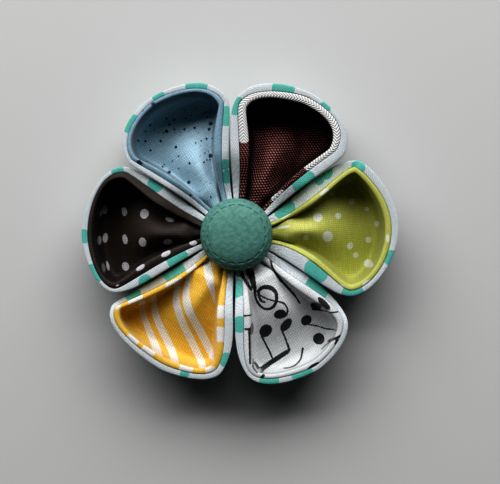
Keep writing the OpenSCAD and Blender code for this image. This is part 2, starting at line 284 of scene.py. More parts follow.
def petal_lines(name):
    """The lines that a petal's sections hang on, along its own axis: one value for each place on the rim.

    The edges in plan are two cubic curves a side: from the throat to the shoulder, and round to the tip.
    The spine is where the two sides' walls meet: it runs ahead of the rim from the throat to the hollow.
    """
    place = rim_places()
    petal = dict(zip(PETAL_COLUMNS, PETALS[name]))
    before = PETALS[NAMES[NAMES.index(name) - 1]][1] - (360 if name == NAMES[0] else 0)
    on_left = place < 2
    side = {
        column: np.where(on_left, left, right)
        for column, left, right in zip(SIDE_COLUMNS, LEFT_SIDES[name], RIGHT_SIDES[name])
    }
    sign = np.where(on_left, 1, -1)
    share = np.minimum(place, 4 - place)
    reach = petal["reach"] * PETAL_REACH
    seam = np.radians(np.where(on_left, petal["seam"] - petal["axis"], petal["axis"] - before))
    throat_half = THROAT_RADIUS * np.tan(seam) - PETAL_GAP / 2
    shoulder_x = side["shoulder_at"] * reach
    run = shoulder_x - THROAT_RADIUS

    def edge(layer, half, out, tip):
        """One layer's edge in plan."""
        slope, rear, front = (side[f"{layer}_{part}"] for part in ("slope", "rear", "front"))
        roundness = petal[f"tip_{layer}"]
        first = share <= 1
        s = np.where(first, share, share - 1)
        x = np.where(
            first,
            bow(THROAT_RADIUS, THROAT_RADIUS + HANDLE * run, shoulder_x - rear * run, shoulder_x, s),
            bow(shoulder_x, shoulder_x + front * (tip - shoulder_x), tip, tip, s),
        )
        rear_y = bow(half, half + HANDLE * run * slope, out, out, s)
        y = np.where(first, rear_y, bow(out, out, out * roundness, 0, s))
        return np.stack([x, sign * y], axis=-1)

    out = side["shoulder_out"] * reach
    cover = edge("cover", throat_half, out, reach)
    lining = edge(
        "lining", throat_half - THROAT_BAND, out - side["shoulder_band"] * FOLD_WIDTH,
        reach - petal["tip_band"] * FOLD_WIDTH,
    )
    ahead = 1 - (1 - np.minimum(share, 1)) ** SPINE_POWER
    spine_x = mix(THROAT_RADIUS, HOLLOW_AT * reach, ahead)
    spine = np.stack([spine_x, np.zeros_like(spine_x)], axis=-1)
    keel_run = (PAD_RADIUS + KEEL_LEAD, KEEL_AT * reach)
    keel = THROAT_KEEL * (1 - rise_between(spine_x, *keel_run))
    full = RIM_HEIGHT - TIP_DROP * rise_between(share, *TIP_DROPS)
    climb = smooth((np.linalg.norm(lining, axis=-1) - BUTTON_RADIUS - LAYER_GAP) / CLIMB)
    flank = side["flank_fold"]
    fold = FOLD_WIDTH * np.where(
        share < FOLD_GROWS[1],
        flank * mix(THROAT_FOLD, 1, rise_between(share, *FOLD_GROWS)),
        mix(flank, petal["tip_fold"], rise_between(share, *FOLD_TURNS)),
    )
    low = np.where(on_left, LOW_COVERS.get((name, "left"), 0), LOW_COVERS.get((name, "right"), 0))
    away = spine - lining
    wide = np.linalg.norm(away, axis=-1)
    return SimpleNamespace(
        place=place, share=share, cover=cover, lining=lining, spine=spine, keel=keel, keel_run=keel_run,
        rim=mix(THROAT_RIM, full, climb), fold=fold, wide=wide,
        inward=away / wide[:, None], axis=radians(petal["axis"]),
        drop=COVER_DROP + low * (1 - rise_between(share, *LOW_ENDS)) * rise_between(share, *LOW_BEGINS),
    )


def turned(points, angle):
    """The points turned about the flower's middle, from a petal's own axis to its place in the flower."""
    c, s = np.cos(angle), np.sin(angle)
    x, y = points[..., 0].copy(), points[..., 1].copy()
    points[..., 0], points[..., 1] = c * x - s * y, s * x + c * y
    return points


def cover_sections(lines):
    """Sections of a cover: up its inner face, over the rounded edge, and down the outer wall to the keel.

    The walls are cubic curves from the edge to the spine, and the edge is an arch between them.
    """
    inner_count, crown_count, outer_count = COVER_COLUMNS
    inward = lines.inward[:, None, :]
    inner = lines.lining[:, None, :] - inward * SEEN_GAP
    edge = lines.cover[:, None, :]
    spine = lines.spine[:, None, :]
    inner_turn = spine - inward * ((1 - INNER_TURN) * lines.wide + LAYER_GAP)[:, None, None]
    outer_turn = spine - inward * ((1 - OUTER_TURN) * lines.wide + LAYER_GAP + COVER_WALL)[:, None, None]
    band = np.linalg.norm(inner - edge, axis=-1)
    top = (lines.rim - lines.drop)[:, None]
    inner_top = top - CROWN_INSIDE
    outer_top = top - np.minimum(CROWN_OUTSIDE * band, CROWN_MOST)
    keel = lines.keel[:, None]
    floor_top = keel + COVER_WALL
    s = np.linspace(1, 0, inner_count, endpoint=False)[None, :]
    inner_plan = bow(inner, inner, inner_turn, spine, s[..., None])
    inner_rise = bow(inner_top, mix(inner_top, floor_top, INNER_DROP), floor_top, floor_top, s)
    turn = np.linspace(0, pi, crown_count)[None, :]
    crown_plan = mix(inner, edge, ((1 - np.cos(turn)) / 2)[..., None])
    low = np.where(turn < pi / 2, inner_top, outer_top)
    crown_rise = mix(low, top, arch(turn))
    s = np.linspace(0, 1, outer_count + 1)[None, 1:]
    outer_plan = bow(edge, edge, outer_turn, spine, s[..., None])
    outer_rise = bow(outer_top, mix(outer_top, keel, OUTER_DROP), keel, keel, s)
    plan = np.concatenate([inner_plan, crown_plan, outer_plan], axis=1)
    rise = np.concatenate([inner_rise, crown_rise, outer_rise], axis=1)
    return turned(np.concatenate([plan, rise[..., None]], axis=2), lines.axis)


def cloth_places(lines, points, from_last):
    """Where each point lies on its cloth, in millimetres: the spine's point plus the way along the section.

    The way is measured from the spine, at the section's last point or at its first one.
    """
    steps = np.linalg.norm(np.diff(points, axis=1), axis=-1)
    way = np.concatenate([np.zeros_like(steps[:, :1]), np.cumsum(steps, axis=1)], axis=1)
    if from_last:
        way = way[:, -1:] - way
    outward = -lines.inward[:, None, :] * way[..., None]
    return lines.spine[:, None, :] + outward


def shell(name, points, values):
    """A closed cloth shell from its sections, with the values given for each point as attributes.

    Both ends of a section lie on the spine, where the left side's points serve the right side too. At the
    throat each section is closed by joining its inner points to its outer ones, side by side.
    """
    rows, columns = points.shape[:2]
    index = np.arange(rows * columns).reshape(rows, columns)
    row = np.arange(rows)
    spine_row = np.minimum(np.minimum(row, rows - 1 - row), FLANK_ROWS)
    index[:, 0] = spine_row * columns
    index[:, -1] = spine_row * columns + columns - 1
    a, b, c, d = index[:-1, :-1], index[1:, :-1], index[1:, 1:], index[:-1, 1:]
    corners = [np.stack([a, c, b], axis=-1).reshape(-1, 3), np.stack([a, d, c], axis=-1).reshape(-1, 3)]
    half = (columns - 1) // 2
    for end in (0, rows - 1):
        front, back = index[end, : half + 1], index[end, ::-1][: half + 1]
        a, b, c, d = front[:-1], front[1:], back[1:], back[:-1]
        first, second = np.stack([a, c, b], axis=-1), np.stack([a, d, c], axis=-1)
        flip = slice(None) if end == 0 else slice(None, None, -1)
        corners += [first[:, flip], second[:, flip]]
    values = {label: np.asarray(value).reshape(rows * columns, -1) for label, value in values.items()}
    return cloth_mesh(name, points.reshape(-1, 3), np.concatenate(corners), values)


def cloth_mesh(name, points, faces, values):
    """A smooth triangle mesh in metres from points in millimetres, with one attribute for each value.

    Faces with two corners at one point are left out, and so are points that no face uses.
    """
    a, b, c = faces.T
    used, faces = np.unique(faces[(a != b) & (b != c) & (a != c)], return_inverse=True)
    points, faces = points[used], faces.reshape(-1, 3)
    mesh = bpy.data.meshes.new(name)
    mesh.vertices.add(len(points))
    mesh.vertices.foreach_set("co", (points * MM).astype(np.float32).ravel())
    mesh.loops.add(faces.size)
    mesh.loops.foreach_set("vertex_index", faces.astype(np.int32).ravel())
    mesh.polygons.add(len(faces))
    mesh.polygons.foreach_set("loop_start", np.arange(0, faces.size, 3, dtype=np.int32))
    mesh.update(calc_edges=True)
    mesh.polygons.foreach_set("use_smooth", np.ones(len(faces), dtype=bool))
    for label, value in values.items():
        value = value[used].astype(np.float32)
        if value.shape[1] == 1:
            mesh.attributes.new(label, "FLOAT", "POINT").data.foreach_set("value", value.ravel())
        else:
            vectors = np.zeros((len(value), 3), np.float32)
            vectors[:, : value.shape[1]] = value
            mesh.attributes.new(label, "FLOAT_VECTOR", "POINT").data.foreach_set("vector", vectors.ravel())
    mesh.validate()
    piece = bpy.data.objects.new(name, mesh)
    scene.collection.objects.link(piece)
    return piece


def on_cloth(seen, x, y):
    """Of the cloth's points that show from above, the nearest one to a place in plan."""
    return seen[np.argmin((seen[:, 0] - x) ** 2 + (seen[:, 1] - y) ** 2)]


def spots(points, seen, places):
    """Signed distance in millimetres to the nearest spot, less than 0 inside one.

    Each spot is a ball about the cloth's point that shows at its place.
    """
    gaps = [np.linalg.norm(points - on_cloth(seen, x, y), axis=-1) - radius for x, y, radius in places]
    return np.min(gaps, axis=0)


def back_spots(number, fabric, height, rim):
    """Signed distance to the spots strewn over a petal's outer wall, which shrink away towards the rim.

    Each square of the cloth holds one, off its middle and larger or smaller by sines of the square's place
    and the petal's number.
    """
    square = np.floor(fabric / BACK_SQUARE)
    strewn = square @ np.array(BACK_STREWN) + number
    middle = (square + 0.5) * BACK_SQUARE + BACK_WANDER * np.sin(strewn)
    radius = BACK_RADIUS + BACK_UNEVEN * np.sin(strewn.sum(axis=-1))
    near_rim = np.maximum(height - (rim - BACK_BELOW), 0)
    return np.linalg.norm(fabric - middle, axis=-1) - radius + near_rim


class Nodes:
    """Puts shader nodes into a material and joins them."""

    def __init__(self, name):
        self.material = bpy.data.materials.new(name)
        self.material.use_nodes = True
        self.tree = self.material.node_tree
        self.shader = self.tree.nodes["Principled BSDF"]

    def put(self, kind, inputs=(), **settings):
        """A node with its settings, and a number, colour or other node's socket for each input."""
        node = self.tree.nodes.new(kind)
        for key, value in settings.items():
            setattr(node, key, value)
        for key, value in dict(inputs).items():
            self.join(node.inputs[key], value)
        return node

    def join(self, socket, value):
        """Joins an output to a socket, or sets the socket's own value."""
        if isinstance(value, bpy.types.NodeSocket):
            self.tree.links.new(value, socket)
        else:
            socket.default_value = value

    def math(self, operation, a, b=0.0):
        """The result of a sum on two numbers."""
        return self.put("ShaderNodeMath", {0: a, 1: b}, operation=operation).outputs[0]

    def vectors(self, operation, *parts):
        """The result of a sum on vectors."""
        return self.put("ShaderNodeVectorMath", dict(enumerate(parts)), operation=operation).outputs[0]

    def scaled(self, colour, share):
        """A colour times a number."""
        return self.put("ShaderNodeVectorMath", {0: colour, 3: share}, operation="SCALE").outputs[0]

    def attribute(self, name, output="Fac"):
        """One of the piece's own attributes."""
        return self.put("ShaderNodeAttribute", attribute_name=name).outputs[output]

    def noise(self, place, scale=1.0, detail=2.0):
        """Cloudy noise from 0 to 1."""
        inputs = {"Vector": place, "Scale": scale, "Detail": detail}
        return self.put("ShaderNodeTexNoise", inputs).outputs["Fac"]

    def blend(self, share, a, b):
        """Two colours mixed by a share."""
        a, b = (value if isinstance(value, bpy.types.NodeSocket) else (*value, 1) for value in (a, b))
        return self.put("ShaderNodeMix", {0: share, 6: a, 7: b}, data_type="RGBA").outputs[2]

    def ramp(self, value, low, high, to_low=0.0, to_high=1.0):
        """A value's smooth rise between two limits."""
        inputs = {"Value": value, "From Min": low, "From Max": high, "To Min": to_low, "To Max": to_high}
        return self.put("ShaderNodeMapRange", inputs, interpolation_type="SMOOTHSTEP").outputs[0]

    def surface(self, colour, height, roughness, shine, relief, depth):
        """The finished material, with a bump that follows the height and is so many millimetres deep."""
        bump = self.put("ShaderNodeBump", {"Strength": relief, "Distance": depth * MM, "Height": height})
        names = ("Base Color", "Roughness", "Specular IOR Level", "Normal")
        for key, value in zip(names, (colour, roughness, shine, bump.outputs[0])):
            self.join(self.shader.inputs[key], value)
        return self.material


def thread_angles(nodes, across, along):
    """The cloth's two ways as angles, which grow by pi with each step across and along."""
    scaled = nodes.vectors("MULTIPLY", nodes.attribute("cloth", "Vector"), (pi / across, pi / along, 1))
    return nodes.put("ShaderNodeSeparateXYZ", {0: scaled}).outputs[:2]


def weave(nodes, pitch, slub):
    """Plain weave on the bias: the height of pillows where two threads cross, by turns over and under.

    With a and b the sines of the two ways across the cloth's diagonals, it is |ab| and ab mixed.
    """
    x, y = thread_angles(nodes, pitch * sqrt(2), pitch * sqrt(2))
    push = nodes.math("MULTIPLY", slub, SLUB_PUSH)
    warp = nodes.math("SINE", nodes.math("ADD", nodes.math("ADD", x, y), push))
    weft = nodes.math("SINE", nodes.math("ADD", nodes.math("SUBTRACT", x, y), push))
    product = nodes.math("MULTIPLY", warp, weft)
    pillows = nodes.math("MULTIPLY", nodes.math("ABSOLUTE", product), PILLOWS)
    return nodes.math("ADD", pillows, nodes.math("MULTIPLY", product, 1 - PILLOWS))


def streaks(nodes, along, across, seed):
    """Noise drawn out along one set of threads."""
    place = nodes.attribute("cloth", "Vector")
    return nodes.noise(nodes.vectors("MULTIPLY_ADD", place, (1 / along, 1 / across, 1), (seed,) * 3))


def painted_crease_shade(nodes, shade, end):
    """How bright the cloth is: painted shade in the crease beside the rolled edge, and 1 away from it."""
    past_roll = nodes.attribute("past_roll")
    begun, left = nodes.ramp(past_roll, *CREASE_PAINTED_SHADE_BEGINS), nodes.ramp(past_roll, *end, 1.0, 0.0)
    return nodes.ramp(nodes.math("MULTIPLY", begun, left), 0, 1, 1.0, shade)


def cotton(name, ground, shade, inks, pitch=0.42, relief=0.8, edge=0.07, sheen=0.3, shine=0.5, crease_painted_shade=None):
    """Printed cotton, whose ground and inks change to their darker tone with the slubs, and which is
    painted darker between the threads and lighter on their tops, as painted shade and light.

    An ink lies where its attribute is below 0, with an edge so wide. The crease is the painted shade beside
    the rolled edge: how dark it is, and the millimetres between which it ends.
    """
    nodes = Nodes(name)
    warp = streaks(nodes, SLUB_LONG, SLUB_WIDE, WARP_SEED)
    weft = streaks(nodes, SLUB_WIDE, SLUB_LONG, WEFT_SEED)
    slub = nodes.math("MULTIPLY", nodes.math("ADD", warp, weft), 0.5)
    clear = nodes.ramp(slub, *SLUB_RANGE)
    fray = nodes.math("MULTIPLY", nodes.math("SUBTRACT", slub, 0.5), SLUB_FRAY)
    colour = nodes.blend(clear, shade, ground)
    for label, ink, ink_shade in inks:
        printed = nodes.ramp(nodes.math("ADD", nodes.attribute(label), fray), -edge, edge, 1.0, 0.0)
        colour = nodes.blend(printed, colour, nodes.blend(clear, ink_shade, ink))
    height = weave(nodes, pitch, slub)
    # Painted shade between the threads and painted light on their tops
    painted_light_and_shade = nodes.ramp(height, *WEAVE_PAINTED_SHADE_AND_LIGHT)
    # Painted shade darkens the cloth in the crease beside the rolled edge
    if crease_painted_shade:
        painted_light_and_shade = nodes.math("MULTIPLY", painted_light_and_shade, painted_crease_shade(nodes, *crease_painted_shade))
    nodes.shader.inputs["Sheen Weight"].default_value = sheen
    nodes.shader.inputs["Sheen Roughness"].default_value = SHEEN_ROUGHNESS
    return nodes.surface(nodes.scaled(colour, painted_light_and_shade), height, COTTON_ROUGHNESS, shine, relief, WEAVE_DEPTH)


cover_cotton = cotton("cover_cotton", COVER_WHITE, COVER_SHADE, [("teal", TEAL, TEAL_SHADE)])
seen_columns = slice(COVER_COLUMNS[0], sum(COVER_COLUMNS[:2]) + SEEN_OUTSIDE)
for number, name in enumerate(NAMES):
    lines = petal_lines(name)
    points = cover_sections(lines)
    fabric = cloth_places(lines, points, True)
    seen = points[:, seen_columns].reshape(-1, 3)
    behind = back_spots(number, fabric, points[..., 2], lines.rim[:, None])
    teal = np.minimum(spots(points, seen, TEAL_SPOTS[name]), behind)
    cover = shell(f"cloth_cover_{name}", points, {"cloth": fabric, "teal": teal})
    cover.data.materials.append(cover_cotton)
    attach(cover, "root")
    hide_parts(f"cover_{name}")

# The linings: a second piece of cotton in each petal, in its own print. Its edge is rolled over the
# cover's, its sides fall steeply into the cup, and from the throat a tongue of cloth runs out between
# two creases and drops into the hollow near the tip.
FACE_COLUMNS = 96
ROLL_COLUMNS = 17
UNDER_COLUMNS = 10
COLUMN_POWER = 1.5
# The rolled edge's height as a share of its width, and its tilt at the tip
ROLL_RISE = 0.38
ROLL_TILT = -0.04
RIDGE_TOP = THROAT_RIM - 0.6
FLOOR_ROUND = 0.4
# Where along the petal the swell starts and ends, the crest leans, and the creases grow and fade
SWELL_STARTS = (9.6, 13.5)
SWELL_ENDS = (17, 31)
RIDGE_LEANS_FROM = 13
CREASE_GROWS = (11, 19)
CREASE_FADES = 20
# The creases: depth and corner's power at the throat, place inside the wall's foot, and least way
THROAT_CREASE = 2.4
THROAT_POWER = 2.5
CREASE_PLACE = 0.2
CREASE_LEAST = 0.8
# How far in from the roll a flank's wall mostly falls, and the least and the most power of that
WALL_RUN = 0.3
WALL_FALL = (6, 28)
# Stretches of the rim where the roll's tilt and the wall turn from the flank's to the tip's
TILT_TURNS = (0.9, 1.4)
RUN_TURNS = (0.7, 1.9)
# One row a petal: how much the tongue swells, where it starts to fall and where it ends, how sharply,
# the hollow's height there, how gently the tip's wall rises, and how far the crest leans to the left
# for each millimetre along. Then for the left side and for the right: how deep the crease is, how far
# from the middle it ends, how much nearer than the wall's foot it is deepest, and the roll's tilt
TONGUES = {
    "lime": (2.8, 19, 35, 0, 4.6, 0.8, -0.02, (3.6, 38, 1.0, 0.12), (4.6, 46, 1.0, -0.30)),
    "oxblood": (1.2, 17, 31, 0.8, 3.0, 1.2, 0.10, (4.8, 36, 1.2, 0.12), (8.0, 42, 1.0, 0.12)),
    "blue": (0.8, 17, 31, 1.0, 2.8, 1.0, -0.15, (5.0, 44, 1.0, 0.25), (3.4, 34, 1.0, 0.12)),
    "brown": (1.8, 20, 35, 0, 3.5, 1.0, 0.0, (4.0, 36, 1.0, 0.12), (4.0, 36, 1.0, 0.60)),
    "yellow": (2.8, 21, 36, 0, 6.4, 1.2, 0.0, (3.4, 36, 1.0, 0.12), (4.0, 34, 1.0, 0.12)),
    "note": (2.4, 21, 36, 0, 5.6, 0.9, 0.0, (3.4, 36, 1.0, 0.12), (4.0, 36, 1.0, 0.12)),
}
PRINT_STEP = 0.25
LINE_STEPS = 8
STROKE_REACH = 2
NO_INK = 9.0


def floor_height(name, lines, x, y):
    """The height of the cup's floor at places along the petal's axis and to the left of it.

    The ridge swells a little outside the button and falls smoothly to the hollow. From its crest the floor
    falls to a crease on each side, as a rounded corner at the throat and as a smooth step farther out.
    A soft limit keeps it above the cover below.
    """
    swell, falls_from, falls_to, sharp, hollow, _, lean, *creases = TONGUES[name]
    fallen = np.clip((x - falls_from) / (falls_to - falls_from), 0, 1)
    ridge = mix(RIDGE_TOP, hollow, mix(smooth(fallen), fallen**2, sharp))
    ridge = ridge + swell * rise_between(x, *SWELL_STARTS) * (1 - rise_between(x, *SWELL_ENDS))
    crest = lean * np.maximum(x - RIDGE_LEANS_FROM, 0)
    height = ridge
    for sign, (depth, end, near, _), on_side in zip((1, -1), creases, (lines.place <= 2, lines.place >= 2)):
        order = np.flatnonzero(on_side)[::sign]
        foot = np.interp(x, lines.lining[order, 0], sign * lines.lining[order, 1] - lines.fold[order])
        wide = np.maximum(foot - CREASE_PLACE - sign * crest, CREASE_LEAST)
        way = np.clip(near * sign * (y - crest) / wide, 0, 1)
        grown = rise_between(x, *CREASE_GROWS)
        step = mix(1 - (1 - way**THROAT_POWER) ** (1 / THROAT_POWER), smooth(way), grown)
        height = height - mix(THROAT_CREASE, depth, grown) * (1 - rise_between(x, CREASE_FADES, end)) * step
    lowest = THROAT_KEEL * (1 - rise_between(x, *lines.keel_run)) + COVER_WALL + LAYER_GAP + LINING_WALL
    return lowest + FLOOR_ROUND * np.logaddexp(0, (height - lowest) / FLOOR_ROUND)


def lining_sections(name, lines):
    """Sections of a lining: from the spine up its inner face, over the rolled edge, and back underneath.

    The rolled edge is an arch. The face is a mix of the floor's height and the roll's, whose share is a
    power of the way from the spine to the roll. Also gives each point's way in from the rim.
    """
    roll, wide = lines.fold[:, None], lines.wide[:, None]
    side = lines.rim[:, None] - ROLL_RISE * roll
    *_, tip_run, _, left, right = TONGUES[name]
    flank_tilt = np.where(lines.place < 2, left[3], right[3])
    tilt = mix(flank_tilt, ROLL_TILT, rise_between(lines.share, *TILT_TURNS))[:, None]
    way = np.linspace(1, 0, FACE_COLUMNS, endpoint=False)[None, :] ** COLUMN_POWER
    turn = np.linspace(0, pi, ROLL_COLUMNS)[None, :]
    under = np.linspace(0, 1, UNDER_COLUMNS + 1)[None, 1:]
    depth = np.concatenate([
        mix(roll, wide, way),
        roll / 2 * (1 + np.cos(turn)),
        bow(0, 0, INNER_TURN * wide, wide, under),
    ], axis=1)
    plan = lines.lining[:, None, :] + lines.inward[:, None, :] * depth[..., None]
    floor = floor_height(name, lines, plan[..., 0], plan[..., 1])
    run = mix(WALL_RUN, tip_run, rise_between(lines.share, *RUN_TURNS))
    fall = np.clip(lines.wide / run, *WALL_FALL)[:, None]
    first, last = FACE_COLUMNS, FACE_COLUMNS + ROLL_COLUMNS
    rise = np.concatenate([
        mix(floor[:, :first], side + tilt * roll / 2, (1 - way) ** fall),
        side + roll * (ROLL_RISE * arch(turn) + tilt * np.cos(turn) / 2),
        mix(floor[:, last:] - LINING_WALL, side - tilt * roll / 2, bow(1, 1 - INNER_DROP, 0, 0, under)),
    ], axis=1)
    return np.concatenate([plan, rise[..., None]], axis=2), depth


def fine_line(knots):
    """A smooth line through the knots, each a place and a width.

    Each gap is a cubic curve whose slope at a knot is half the way between the knots on either side.
    """
    knots = np.array(knots, dtype=float) * PRINT_STEP
    slopes = np.gradient(knots, axis=0)
    t = np.linspace(0, 1, LINE_STEPS, endpoint=False)[None, :, None]
    start, end, leave, arrive = knots[:-1, None], knots[1:, None], slopes[:-1, None], slopes[1:, None]
    line = bow(start, start + leave / 3, end - arrive / 3, end, t).reshape(-1, 3)
    return np.concatenate([line, knots[-1:]])


def strokes(at, lines):
    """Signed distance in plan to the nearest pen stroke, whose knots are places and widths."""
    nearest = np.full(at.plan.shape[:-1], NO_INK)
    for knots in lines:
        line = fine_line(knots)
        low, high = line[:, :2].min(axis=0) - STROKE_REACH, line[:, :2].max(axis=0) + STROKE_REACH
        near = np.all((at.plan > low) & (at.plan < high), axis=-1)
        points = at.plan[near][:, None, :]
        start, way = line[None, :-1, :2], np.diff(line[:, :2], axis=0)[None]
        along = np.sum((points - start) * way, axis=-1)
        share = np.clip(along / np.maximum(np.sum(way**2, axis=-1), 1e-9), 0, 1)
        gap = np.linalg.norm(points - start - share[..., None] * way, axis=-1)
        width = mix(line[None, :-1, 2], line[None, 1:, 2], share)
        nearest[near] = np.minimum(nearest[near], np.min(gap - width / 2, axis=1))
    return nearest


def marks(at, places, power=2):
    """Signed distance in plan to the nearest mark: a place, two half sizes and a tilt in degrees.

    A round mark has a place and one half size alone.
    With u and v the way along and across in half sizes, the edge is where |u| and |v|, each raised to
    the power, add up to 1: an ellipse at 2 and a rounded bar at 8.
    """
    nearest = np.full(at.plan.shape[:-1], NO_INK)
    for x, y, half_long, *rest in places:
        half_wide, tilt = rest or (half_long, 0)
        away = at.plan - np.array((x, y)) * PRINT_STEP
        c, s = cos(radians(tilt)), sin(radians(tilt))
        u = (away[..., 0] * c + away[..., 1] * s) / (half_long * PRINT_STEP)
        v = (away[..., 1] * c - away[..., 0] * s) / (half_wide * PRINT_STEP)
        size = (np.abs(u) ** power + np.abs(v) ** power) ** (1 / power)
        nearest = np.minimum(nearest, (size - 1) * min(half_long, half_wide) * PRINT_STEP)
    return nearest


def lining(name, prints, material):
    """One petal's lining, with the signed distance of each of its prints."""
    lines = petal_lines(name)
    points, depth = lining_sections(name, lines)
    fabric = cloth_places(lines, points, False)
    turned(points, lines.axis)
    edge = np.linalg.norm(np.diff(lines.lining, axis=0, prepend=lines.lining[:1]), axis=1)
    at = SimpleNamespace(
        plan=points[..., :2], past_roll=depth - lines.fold[:, None],
        along=np.broadcast_to(np.cumsum(edge)[:, None], depth.shape), across=depth - lines.fold[:, None] / 2,
    )
    values = {"cloth": fabric, "past_roll": at.past_roll}
    for label, draw in prints.items():
        value = np.array(draw(at))
        value[:, FACE_COLUMNS + ROLL_COLUMNS :] = NO_INK
        values[label] = value
    piece = shell(f"cloth_lining_{name}", points, values)
    piece.data.materials.append(material)
    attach(piece, "root")
    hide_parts(f"lining_{name}")


# The lime lining: cotton printed with scattered white dots, large and small. The prints' places here and
# in the sections below are in quarter millimetres from the flower's middle, as seen from above.
LIME = (0.57, 0.585, 0.145)
LIME_SHADE = (0.50, 0.52, 0.10)
DOT_WHITE = (0.86, 0.88, 0.80)
DOT_SHADE = (0.74, 0.76, 0.65)
LIME_DOTS = (
    (82, 17.5, 4.7), (103, 19, 3.1), (92, -2, 5.4), (70, -3, 2.8), (115.5, -11.5, 3.1, 3.8, -20),
    (121.5, -21, 3), (134.5, -29.5, 4.2), (134.5, -5.5, 3.1), (143, 11, 2.2, 3, 0), (117.5, 33.5, 3),
    (133, 26, 2.2), (97, 41, 2.4), (151.5, -4, 1.6, 4, 0), (131, -48, 5.5, 2, 25), (105, -52, 4, 2, -30),
    (88, 42.5, 5.5, 1.8, 37), (49, 18, 5.5, 1.1, 25), (47, 7.2, 6, 1.3, 12),
)
# The crease beside the roll is darkened by painted shade, mildly and up to 3 mm in
lime_cotton = cotton(
    "lime_cotton", LIME, LIME_SHADE, [("dots", DOT_WHITE, DOT_SHADE)],
    pitch=0.36, relief=0.55, sheen=0.1, shine=0.65, crease_painted_shade=(0.7, (0, 3)),
)
lining("lime", {"dots": lambda at: marks(at, LIME_DOTS)}, lime_cotton)

# The oxblood lining: a coarse two-colour weave, red-brown threads that show as dots on near-black
# ones. Its rolled edge is bleached white herringbone from the left flank over the tip to the right.
OXBLOOD = (0.020, 0.006, 0.006)
OXBLOOD_THREAD = (0.50, 0.20, 0.175)
OXBLOOD_STEP = (0.375, 0.65)
OXBLOOD_HEIGHTS = (0.05, 0.75)
OXBLOOD_CLOUDS = (0.2, 0.7, 0.55, 1.0)
# Painted shade in the crease beside the roll: nearly black, and fading out up to 2.8 mm in
OXBLOOD_CREASE_PAINTED_SHADE = (0.12, (0.4, 2.8))
CLOUD_SIZE = 2.5
CLOUD_SEED = 4.4
BLEACHED = (0.86, 0.86, 0.85)
# Painted shade in the herringbone's grooves on the bleached edge
BLEACHED_GROOVE_PAINTED_SHADE = (0.42, 0.41, 0.41)
BLEACHED_EDGE = 0.08
CHEVRON = 0.82
CHEVRON_SLOPE = 1.1
CHEVRON_HEIGHTS = (-0.95, -0.1)
WHITE_FROM_LEFT = 22.8
WHITE_BOW = 0.35
WHITE_TO_RIGHT = (17.1, 16.5)
RIGHT_WAY = (0.77, 0.64)
WHITE_SWITCH = 6
WHITE_MOTIF = ((43, 37.5, 5.2, 4.2, 10), (38, 36, 3.0, 2.4, 0), (45, 42, 3.0, 2.4, 30))


def bleached(at):
    """Signed distance to the white stretch of the rolled edge and the white motif on the right flank."""
    x, y = at.plan[..., 0], at.plan[..., 1]
    right = (x - WHITE_TO_RIGHT[0]) * RIGHT_WAY[0] + (y - WHITE_TO_RIGHT[1]) * RIGHT_WAY[1]
    left = y - WHITE_FROM_LEFT - WHITE_BOW * at.across**2
    beyond = np.where(x < WHITE_SWITCH, -left, -right)
    return np.minimum(np.maximum(at.past_roll, beyond), marks(at, WHITE_MOTIF, 3))


def oxblood_weave():
    """Dots where one set of threads lies over the other, and chevrons along the bleached edge.
    Painted shade darkens the chevrons' grooves and the crease beside the rolled edge.
    """
    nodes = Nodes("oxblood_cotton")
    x, y = thread_angles(nodes, *OXBLOOD_STEP)
    crossing = nodes.math("MULTIPLY", nodes.math("SINE", x), nodes.math("SINE", y))
    cloud = nodes.ramp(streaks(nodes, CLOUD_SIZE, CLOUD_SIZE, CLOUD_SEED), *OXBLOOD_CLOUDS)
    thread = nodes.math("MULTIPLY", nodes.ramp(crossing, *OXBLOOD_HEIGHTS), cloud)
    dark = nodes.blend(thread, OXBLOOD, OXBLOOD_THREAD)
    # Painted shade in the crease beside the rolled edge
    dark = nodes.scaled(dark, painted_crease_shade(nodes, *OXBLOOD_CREASE_PAINTED_SHADE))
    side = nodes.math("MULTIPLY", nodes.math("ABSOLUTE", nodes.attribute("across")), CHEVRON_SLOPE)
    phase = nodes.math("MULTIPLY", nodes.math("ADD", nodes.attribute("along"), side), 2 * pi / CHEVRON)
    braid = nodes.math("SINE", phase)
    # The bleached edge with painted shade in its grooves
    white = nodes.blend(nodes.ramp(braid, *CHEVRON_HEIGHTS), BLEACHED_GROOVE_PAINTED_SHADE, BLEACHED)
    bleach = nodes.ramp(nodes.attribute("white"), -BLEACHED_EDGE, BLEACHED_EDGE, 1.0, 0.0)
    height = nodes.put("ShaderNodeMix", {0: bleach, 2: crossing, 3: braid}, data_type="FLOAT").outputs[0]
    colour = nodes.blend(bleach, dark, white)
    return nodes.surface(colour, height, roughness=0.8, shine=0.25, relief=0.8, depth=0.12)


oxblood_prints = {"white": bleached, "along": lambda at: at.along, "across": lambda at: at.across}
lining("oxblood", oxblood_prints, oxblood_weave())
